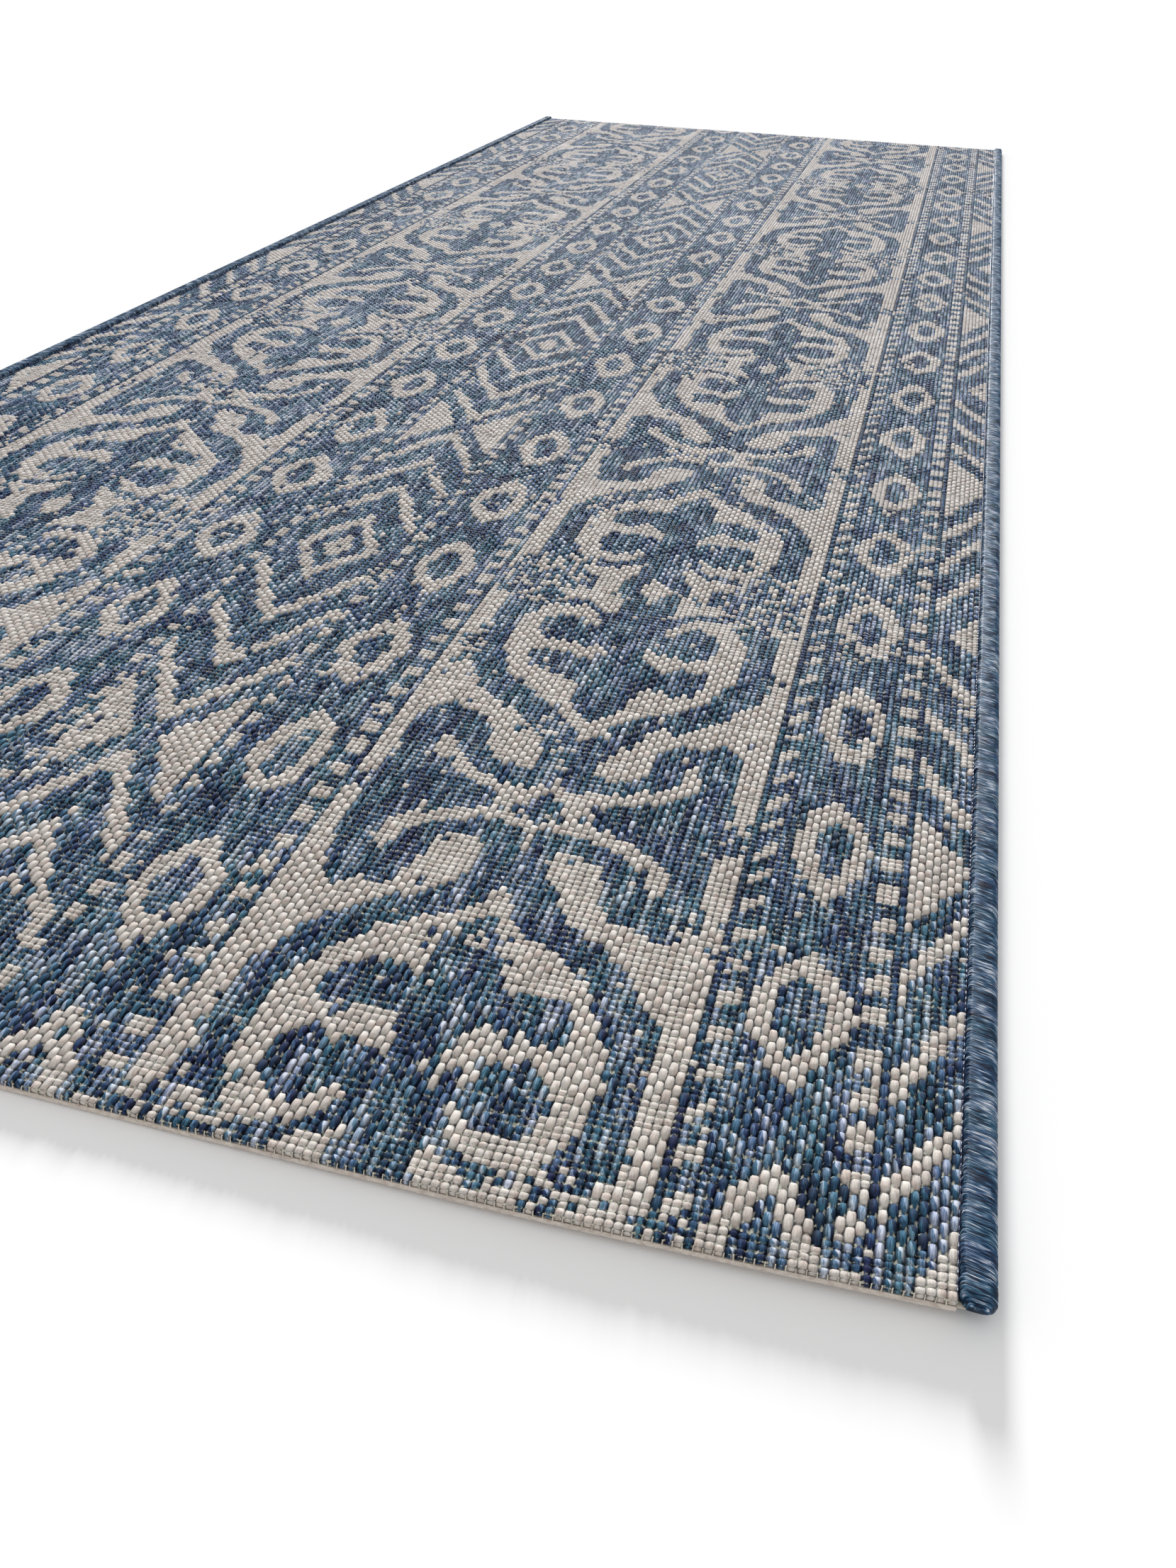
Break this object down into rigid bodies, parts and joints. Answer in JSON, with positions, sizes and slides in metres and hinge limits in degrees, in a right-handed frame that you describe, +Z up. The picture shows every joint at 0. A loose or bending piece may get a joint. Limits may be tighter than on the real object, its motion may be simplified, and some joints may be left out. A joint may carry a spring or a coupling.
{
  "type": "runner rug",
  "caption": "Flat-woven runner rug with serged long edges and taped short ends, lying flat on the floor.",
  "frame": {"origin": "on the floor, under the middle of the rug", "axes": "+X across the rug, +Y along it, +Z up out of the woven face"},
  "size_m": [0.8, 2.21, 0.0075],
  "materials": {
    "backing": "matte coated cloth",
    "ground_yarn": "matte spun yarn",
    "face_yarn": "bulked polypropylene yarn, heathered sand and blue",
    "serging_yarn": "soft space-dyed yarn",
    "filler_cord": "matte twisted cord",
    "lock_thread": "clear monofilament over blue thread",
    "end_tape": "matte woven tape",
    "end_thread": "matte thread"
  },
  "bodies": {
    "root": {"backing": "backing", "ground_weave": "ground_yarn", "woven_face": "face_yarn", "serging_right": "serging_yarn", "serging_left": "serging_yarn", "filler_cord_right": "filler_cord", "filler_cord_left": "filler_cord", "lock_thread_right": "lock_thread", "lock_thread_left": "lock_thread", "end_tape_front": "end_tape", "end_tape_back": "end_tape", "end_threads_front": "end_thread", "end_threads_back": "end_thread"}
  },
  "joints": []
}
